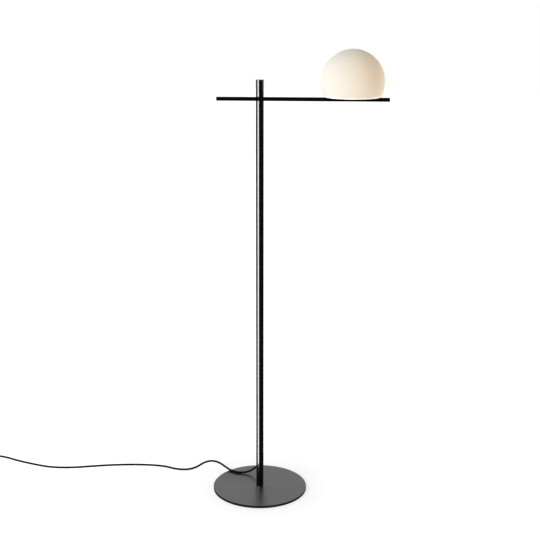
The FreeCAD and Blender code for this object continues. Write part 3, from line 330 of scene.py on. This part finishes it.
# %% Key, gloss strip and fills
warm_white, cream_white = (1.0, 0.72, 0.44), (1.0, 0.94, 0.86)
arm_middle = (0.2, 0.0, 1.2)
strip_height = 0.7025
key = soft_light("key_left", (-2.2, -2.3, 2.0), (0.0, 0.0, 0.9), (1.6, 1.6), 94.0)
key.visible_glossy = False
strip = soft_light("post_strip", (-0.140, -0.1429, strip_height), (0.0, 0.0, strip_height),
                   (0.138, 1.395), 15.1)
strip.visible_camera = False
strip.visible_diffuse = False
strip.visible_transmission = False
post_only = bpy.data.collections.new("lit_by_the_strip")
for name in ("post_tube", "post_cap"):
    post_only.objects.link(nodes[name])
strip.light_linking.receiver_collection = post_only
fill = soft_light("fill_right", (2.6, -1.2, 1.6), arm_middle, (1.2, 1.2), 24.5, warm_white)
fill.visible_glossy = False
all_but_floor = bpy.data.collections.new("not_lit_by_the_warm_fill")
all_but_floor.objects.link(floor)
all_but_floor.collection_objects[0].light_linking.link_state = "EXCLUDE"
fill.light_linking.receiver_collection = all_but_floor
front = soft_light("fill_front", (0.9, -3.4, 1.2), arm_middle, (1.6, 1.2), 27.0, cream_white)
front.visible_glossy = False

# %% [markdown]
# ## Helpers for surface detail
#
# No real surface is one flat value.  Fine noise in the bump stands for orange peel, grain or
# moulding texture, and slow noise in the roughness stands for handling.  Both read Object
# coordinates, so they stay on the piece wherever it moves.


# %% Noise into roughness and bump
def add_noise(tree, scale, detail=3.0, stretch=(1.0, 1.0, 1.0)):
    """Adds a noise texture on Object coordinates, stretched along the axes, and gives it back."""
    coordinates = tree.nodes.new("ShaderNodeTexCoord")
    mapping = tree.nodes.new("ShaderNodeMapping")
    mapping.inputs["Scale"].default_value = stretch
    noise = tree.nodes.new("ShaderNodeTexNoise")
    noise.inputs["Scale"].default_value = scale
    noise.inputs["Detail"].default_value = detail
    tree.links.new(coordinates.outputs["Object"], mapping.inputs["Vector"])
    tree.links.new(mapping.outputs["Vector"], noise.inputs["Vector"])
    return noise


def vary_roughness(tree, shader, noise, low, high):
    """Lets a noise move the roughness between two values."""
    spread = tree.nodes.new("ShaderNodeMapRange")
    spread.inputs["From Min"].default_value = 0.3
    spread.inputs["From Max"].default_value = 0.7
    spread.inputs["To Min"].default_value = low
    spread.inputs["To Max"].default_value = high
    tree.links.new(noise.outputs["Fac"], spread.inputs["Value"])
    tree.links.new(spread.outputs["Result"], shader.inputs["Roughness"])


def vary_colour(tree, shader, noise, dark, light):
    """Lets a noise move the base colour between two colours."""
    ramp = tree.nodes.new("ShaderNodeValToRGB")
    ramp.color_ramp.elements[0].position = 0.3
    ramp.color_ramp.elements[0].color = (*dark, 1.0)
    ramp.color_ramp.elements[1].position = 0.7
    ramp.color_ramp.elements[1].color = (*light, 1.0)
    tree.links.new(noise.outputs["Fac"], ramp.inputs["Fac"])
    tree.links.new(ramp.outputs["Color"], shader.inputs["Base Color"])


def add_bump(tree, shader, height, strength, distance):
    """Turns a height into bump on the shader."""
    bump = tree.nodes.new("ShaderNodeBump")
    bump.inputs["Strength"].default_value = strength
    bump.inputs["Distance"].default_value = distance
    tree.links.new(height, bump.inputs["Height"])
    tree.links.new(bump.outputs["Normal"], shader.inputs["Normal"])


# %% [markdown]
# ## Black finishes
#
# The foot, the post and the arm are all black, but not alike.  The foot is powder coated and
# satin: the white room lies on it as a soft grey.  The post is smooth and shows a sharp line of
# light.  The arm is duller.  Only roughness and bump tell them apart.

# %% Foot: satin powder coat
foot_paint, tree, shader = new_material("satin_powder_coat", (0.012, 0.012, 0.012), 0.2)
shader.inputs["Specular IOR Level"].default_value = 0.95
fine = add_noise(tree, 900.0, 2.0)
slow = add_noise(tree, 14.0, 2.0)
vary_roughness(tree, shader, slow, 0.32, 0.36)
add_bump(tree, shader, fine.outputs["Fac"], 0.12, 0.0002)

# %% Post: gloss enamel
post_paint, tree, shader = new_material("gloss_enamel", (0.004, 0.004, 0.004), 0.12)
shader.inputs["Specular IOR Level"].default_value = 0.4
slow = add_noise(tree, 30.0, 2.0)
vary_roughness(tree, shader, slow, 0.10, 0.14)

# %% Arm: satin enamel
arm_paint, tree, shader = new_material("satin_enamel", (0.003, 0.003, 0.003), 0.24)
shader.inputs["Specular IOR Level"].default_value = 0.12
fine = add_noise(tree, 1100.0, 2.0)
vary_roughness(tree, shader, fine, 0.21, 0.25)
add_bump(tree, shader, fine.outputs["Fac"], 0.05, 0.00003)

# %% [markdown]
# ## Metals inside the lamp
#
# Most of these are out of sight until the glass is lifted.  Zinc plate is pale and a little
# cloudy, spring steel is darker and drawn along its length, and brass and nickel are brighter.

# %% Plated and bare metals
metals = {}
for name, dark, light, rough, grain in (
    ("zinc_plate", (0.52, 0.53, 0.54), (0.66, 0.67, 0.68), (0.28, 0.42), (1.0, 1.0, 1.0)),
    ("spring_steel_strip", (0.40, 0.40, 0.41), (0.54, 0.54, 0.54), (0.22, 0.38), (1.0, 1.0, 8.0)),
    ("bright_aluminium_rivet", (0.70, 0.70, 0.71), (0.80, 0.80, 0.81), (0.25, 0.35), (1.0, 1.0, 1.0)),
    ("brass_contact", (0.66, 0.50, 0.24), (0.80, 0.64, 0.34), (0.20, 0.34), (1.0, 1.0, 3.0)),
    ("nickel_plate", (0.72, 0.72, 0.71), (0.82, 0.81, 0.79), (0.12, 0.22), (1.0, 1.0, 1.0)),
):
    metal, tree, shader = new_material(name, light, rough[0], 1.0)
    clouds = add_noise(tree, 160.0, 4.0, grain)
    vary_colour(tree, shader, clouds, dark, light)
    vary_roughness(tree, shader, clouds, *rough)
    metals[name] = metal
print("metals:", sorted(metals))

# %% [markdown]
# ## Plastics, rubber and ceramic
#
# Moulded plastic has a fine eroded grain, rubber is softer and duller, and the unglazed ceramic
# of the lampholder is chalky with small specks.

# %% Moulded and fired materials
moulded = {}
for name, dark, light, rough, scale, depth in (
    ("black_moulding", (0.014, 0.014, 0.014), (0.024, 0.024, 0.024), (0.42, 0.52), 1400.0, 0.00008),
    ("black_rubber_moulding", (0.012, 0.012, 0.012), (0.022, 0.022, 0.022), (0.50, 0.62), 700.0, 0.00006),
    ("cord_sheath", (0.005, 0.005, 0.005), (0.009, 0.009, 0.009), (0.44, 0.54), 500.0, 0.00005),
    ("soft_felt_pad", (0.02, 0.02, 0.02), (0.04, 0.04, 0.04), (0.85, 0.95), 900.0, 0.0004),
    ("white_moulding", (0.74, 0.74, 0.72), (0.82, 0.82, 0.80), (0.40, 0.50), 900.0, 0.00005),
    ("fired_ceramic", (0.76, 0.75, 0.71), (0.86, 0.85, 0.81), (0.62, 0.75), 800.0, 0.0001),
    ("yellow_light_board", (0.80, 0.66, 0.18), (0.88, 0.78, 0.34), (0.45, 0.60), 420.0, 0.0002),
    ("frosted_bulb_cover", (0.86, 0.86, 0.84), (0.92, 0.92, 0.90), (0.50, 0.60), 600.0, 0.00005),
    ("milky_gasket", (0.95, 0.95, 0.92), (0.99, 0.99, 0.97), (0.35, 0.45), 300.0, 0.00005),
    ("brown_insulation", (0.12, 0.045, 0.014), (0.18, 0.07, 0.024), (0.35, 0.42), 300.0, 0.00004),
    ("blue_insulation", (0.025, 0.08, 0.34), (0.035, 0.11, 0.44), (0.35, 0.42), 300.0, 0.00004),
):
    material, tree, shader = new_material(name, light, rough[0])
    grain = add_noise(tree, scale, 3.0)
    vary_colour(tree, shader, grain, dark, light)
    vary_roughness(tree, shader, grain, *rough)
    add_bump(tree, shader, grain.outputs["Fac"], 0.4, depth)
    moulded[name] = material
moulded["cord_sheath"].node_tree.nodes["Principled BSDF"].inputs["Specular IOR Level"].default_value = 0.03
print("moulded materials:", len(moulded))

# %% Earth wire: green with yellow bands
earth_wire, tree, shader = new_material("striped_insulation", (0.05, 0.30, 0.04), 0.38)
coordinates = tree.nodes.new("ShaderNodeTexCoord")
bands = tree.nodes.new("ShaderNodeTexWave")
bands.inputs["Scale"].default_value = 60.0
ramp = tree.nodes.new("ShaderNodeValToRGB")
ramp.color_ramp.interpolation = "CONSTANT"
ramp.color_ramp.elements[0].color = (0.05, 0.30, 0.04, 1.0)
ramp.color_ramp.elements[1].position = 0.55
ramp.color_ramp.elements[1].color = (0.75, 0.62, 0.05, 1.0)
tree.links.new(coordinates.outputs["Object"], bands.inputs["Vector"])
tree.links.new(bands.outputs["Fac"], ramp.inputs["Fac"])
tree.links.new(ramp.outputs["Color"], shader.inputs["Base Color"])
moulded["striped_insulation"] = earth_wire

# %% [markdown]
# ## Opal glass
#
# Blown opal glass is white all through, with a satin skin.  It isn't clear, so full transmission
# would only make the picture noisy: a warm white base with a little light spread below the
# surface gives the same look, and a soft sheen stands for the satin etch.

# %% The globe's glass
opal, tree, shader = new_material("opal_glass", (1.0, 0.915, 0.805), 0.55)
shader.inputs["Specular IOR Level"].default_value = 0.08
shader.inputs["Subsurface Weight"].default_value = 0.12
shader.inputs["Subsurface Radius"].default_value = (1.0, 0.6, 0.35)
shader.inputs["Subsurface Scale"].default_value = 0.01
slow = add_noise(tree, 9.0, 2.0)
vary_roughness(tree, shader, slow, 0.50, 0.60)

# %% Painted highlight: a glow along the ground rim
globe_rim = 1.3492
# Painted highlight: the glass glows in a thin band just above its cut, standing for light caught by the
# ground rim.
coordinates = tree.nodes.new("ShaderNodeTexCoord")
axes = tree.nodes.new("ShaderNodeSeparateXYZ")
painted_rim_highlight = tree.nodes.new("ShaderNodeMapRange")
painted_rim_highlight.inputs["From Min"].default_value = globe_rim + 0.0003
painted_rim_highlight.inputs["From Max"].default_value = globe_rim + 0.0043
painted_rim_highlight.inputs["To Min"].default_value = 0.45
painted_rim_highlight.inputs["To Max"].default_value = 0.0
shader.inputs["Emission Color"].default_value = (1.0, 0.97, 0.90, 1.0)
tree.links.new(coordinates.outputs["Object"], axes.inputs["Vector"])
tree.links.new(axes.outputs["Z"], painted_rim_highlight.inputs["Value"])
tree.links.new(painted_rim_highlight.outputs["Result"], shader.inputs["Emission Strength"])

# %% [markdown]
# ## The glass globe
#
# A blown globe is a ball with a flat, open cut where it meets its plate.  A sphere primitive has
# the right curve everywhere, which a lofted or turned shape would only come near.  It gets its
# wall first, so that the cut goes through both skins and leaves a flat rim, and then the two
# edges of the cut are bridged and rounded as if ground.

# %% A ball with a wall
globe_centre = (0.292, -0.0145, 1.396)
globe_radius = 0.1
glass_wall = 0.003
clear_selection()
bpy.ops.mesh.primitive_uv_sphere_add(segments=112, ring_count=72, radius=globe_radius,
                                     location=globe_centre)
globe = bpy.context.object
globe.name = "opal_globe"
bpy.ops.object.transform_apply(location=True, rotation=True, scale=True)
wall = globe.modifiers.new("wall", "SOLIDIFY")
wall.thickness = glass_wall
wall.offset = -1.0
bpy.ops.object.modifier_apply(modifier=wall.name)
print("points in the ball:", len(globe.data.vertices))

# %% Cut it flat and close the rim
bpy.ops.object.mode_set(mode="EDIT")
bpy.ops.mesh.select_all(action="SELECT")
bpy.ops.mesh.bisect(plane_co=(0.0, 0.0, globe_rim), plane_no=(0.0, 0.0, 1.0), clear_inner=True)
bpy.ops.mesh.select_all(action="DESELECT")
bpy.context.tool_settings.mesh_select_mode = (False, True, False)
bpy.ops.mesh.select_non_manifold()
bpy.ops.mesh.bridge_edge_loops()
bpy.ops.mesh.select_all(action="SELECT")
bpy.ops.mesh.normals_make_consistent(inside=False)
bpy.ops.object.mode_set(mode="OBJECT")
ground = globe.modifiers.new("ground_rim", "BEVEL")
ground.width = 0.0009
ground.segments = 3
ground.angle_limit = math.radians(35)
bpy.ops.object.modifier_apply(modifier=ground.name)
bpy.ops.object.shade_smooth_by_angle(angle=math.radians(35))
paint(globe, opal)
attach(globe, "globe")
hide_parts("glass_globe")
print("lowest point of the glass:", round(min(v.co.z for v in globe.data.vertices), 4))

# %% [markdown]
# ## The button of the foot switch
#
# A foot finds this button without looking, so its top is a shallow dish with raised bars.  It
# grows out of one disc: insets sink the dish, the outer edge is drawn down into a skirt, and the
# skirt turns out into the flange that keeps the button under its cover.

# %% Dish and skirt
button_low, button_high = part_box("switch_button")
button_x, button_y = (button_low.x + button_high.x) / 2, (button_low.y + button_high.y) / 2
key_radius = 0.012
key_wall = 0.0016               # the flange is as thick as the wall
flange_radius = 0.0135
dish_ring = 0.0018
dish_steps = (0.0, 0.0004, 0.0003, 0.0001)
clear_selection()
bpy.ops.mesh.primitive_circle_add(vertices=64, radius=key_radius, fill_type="NGON",
                                  location=(button_x, button_y, button_high.z))
key_top = bpy.context.object
key_top.name = "switch_key"
bpy.ops.object.transform_apply(location=True, rotation=True, scale=True)
bpy.context.tool_settings.mesh_select_mode = (False, False, True)
bpy.ops.object.mode_set(mode="EDIT")
for sink in dish_steps:
    bpy.ops.mesh.inset(thickness=dish_ring)
    bpy.ops.transform.translate(value=(0.0, 0.0, -sink))
bpy.ops.mesh.select_all(action="DESELECT")
bpy.context.tool_settings.mesh_select_mode = (False, True, False)
bpy.ops.mesh.select_non_manifold()
skirt = button_high.z - button_low.z - key_wall
bpy.ops.mesh.extrude_edges_move(TRANSFORM_OT_translate={"value": (0.0, 0.0, -skirt)})
bpy.ops.mesh.extrude_edges_move()
flange_share = flange_radius / key_radius
bpy.ops.transform.resize(value=(flange_share, flange_share, 1.0),
                         center_override=(button_x, button_y, 0.0))
bpy.ops.object.mode_set(mode="OBJECT")
print("skirt of the button, mm:", round(skirt * 1000, 1))

# %% Wall, rounding and bars
bar_length, bar_width, bar_spacing = 0.010, 0.0012, 0.0032
wall = key_top.modifiers.new("wall", "SOLIDIFY")
wall.thickness = key_wall
wall.offset = -1.0
bpy.ops.object.modifier_apply(modifier=wall.name)
rounding = key_top.modifiers.new("rounding", "BEVEL")
rounding.width = 0.0005
rounding.segments = 3
rounding.angle_limit = math.radians(40)
bpy.ops.object.modifier_apply(modifier=rounding.name)
bpy.ops.mesh.primitive_cube_add(size=1.0, location=(button_x, button_y, button_high.z - 0.0007))
bar = bpy.context.object
bar.name = "grip_bar"
bar.scale = (bar_length, bar_width, bar_width)
bpy.ops.object.transform_apply(location=True, rotation=True, scale=True)
rounding = bar.modifiers.new("rounding", "BEVEL")
rounding.width = 0.0004
rounding.segments = 3
bpy.ops.object.modifier_apply(modifier=rounding.name)
bars = [bar]
for offset in (-bar_spacing, bar_spacing):
    copy = bar.copy()
    copy.data = bar.data.copy()
    copy.data.transform(Matrix.Translation((0.0, offset, 0.0)))
    bpy.context.scene.collection.objects.link(copy)
    bars.append(copy)
clear_selection()
for piece in [key_top] + bars:
    piece.select_set(True)
bpy.context.view_layer.objects.active = key_top
bpy.ops.object.join()
bpy.ops.object.shade_smooth_by_angle(angle=math.radians(40))
paint(key_top, moulded["black_moulding"])
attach(key_top, "switch_button")
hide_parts("switch_button")
print("button reaches from", round(min(v.co.z for v in key_top.data.vertices), 4),
      "to", round(max(v.co.z for v in key_top.data.vertices), 4))

# %% [markdown]
# ## The spring under the button
#
# A rigid spring would poke through the button when it is pressed.  The spring is wound from
# points and made a mesh of its own.  Its end turns lie almost flat, as on a real compression
# spring, and the turns between them are open.

# %% Wind the spring and make it a mesh
spring_foot = 0.0100
spring_top = button_high.z - sum(dish_steps) - key_wall
spring_wire = 0.0009
spring_radius = 0.0042
spring_turns = 6
spring_steps = 16               # points in one turn
spring_gap = 0.00005            # between the wire and what it presses on
low_end = spring_foot + spring_wire / 2 + spring_gap
high_end = spring_top - spring_wire / 2 - spring_gap
spring_points = []
for step in range(spring_turns * spring_steps + 1):
    turn = step / spring_steps
    share = min(max((turn - 0.5) / (spring_turns - 1), 0.0), 1.0)
    eased = share * share * (3 - 2 * share) * 0.5 + share * 0.5
    angle = 2 * math.pi * turn
    spring_points.append((button_x + spring_radius * math.cos(angle),
                          button_y + spring_radius * math.sin(angle),
                          low_end + (high_end - low_end) * eased))
return_spring = draw_cord("return_spring", spring_points, spring_wire)
clear_selection()
return_spring.select_set(True)
bpy.context.view_layer.objects.active = return_spring
bpy.ops.object.convert(target="MESH")
return_spring = bpy.context.object
bpy.ops.object.shade_smooth_by_angle(angle=math.radians(40))
paint(return_spring, metals["spring_steel_strip"])
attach(return_spring, "lamp")
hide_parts("switch_spring")
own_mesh(return_spring)

# %% [markdown]

# %% [markdown]
# ## Dress the carried-over pieces
#
# Pieces whose shape is already right keep their mesh and only get their finish.

# %% Finish by piece
finishes = {
    "base_pad": moulded["soft_felt_pad"], "base_plate": foot_paint, "foot_screw": metals["zinc_plate"],
    "post_foot_insert": metals["zinc_plate"], "post_tube": post_paint, "post_cap": post_paint,
    "arm_seat_block": metals["zinc_plate"], "arm_washer": metals["zinc_plate"],
    "arm_screw": metals["zinc_plate"], "rear_screw_cover": moulded["black_moulding"],
    "arm_tube": arm_paint, "arm_insert": metals["zinc_plate"],
    "arm_cap_left": moulded["black_moulding"], "arm_cap_right": moulded["black_moulding"],
    "nut_strip": metals["zinc_plate"], "plate_screws": metals["zinc_plate"],
    "globe_plate": arm_paint, "globe_gasket": moulded["milky_gasket"],
    "globe_springs": metals["spring_steel_strip"], "spring_rivets": metals["bright_aluminium_rivet"],
    "lampholder_bracket": metals["zinc_plate"],
    "bracket_screws": metals["zinc_plate"], "lampholder": moulded["fired_ceramic"],
    "lampholder_contacts": metals["brass_contact"], "lampholder_screws": metals["zinc_plate"],
    "bulb_base": moulded["white_moulding"], "bulb_pins": metals["nickel_plate"],
    "bulb_core": moulded["yellow_light_board"], "bulb_lens": moulded["frosted_bulb_cover"],
    "inner_cable": moulded["cord_sheath"], "wire_live": moulded["brown_insulation"],
    "wire_neutral": moulded["blue_insulation"], "wire_earth": moulded["striped_insulation"],
    "earth_lug": metals["nickel_plate"], "earth_screw": metals["zinc_plate"],
    "strain_relief": moulded["black_rubber_moulding"], "switch_base": moulded["black_moulding"],
    "switch_cover": moulded["black_moulding"], "switch_screws": metals["zinc_plate"],
    "switch_mechanism": moulded["white_moulding"], "switch_sleeves": moulded["black_rubber_moulding"],
    "switch_leads": moulded["cord_sheath"], "cord_tie": moulded["black_moulding"],
    "plug_body": moulded["black_rubber_moulding"], "plug_pins": metals["nickel_plate"],
    "plug_earth_strips": metals["nickel_plate"],
}
for name, material in finishes.items():
    paint(nodes[name], material)
paint(lamp_cord, moulded["cord_sheath"])
paint(plug_cord, moulded["cord_sheath"])
print("carried-over pieces given a finish:", len(finishes))
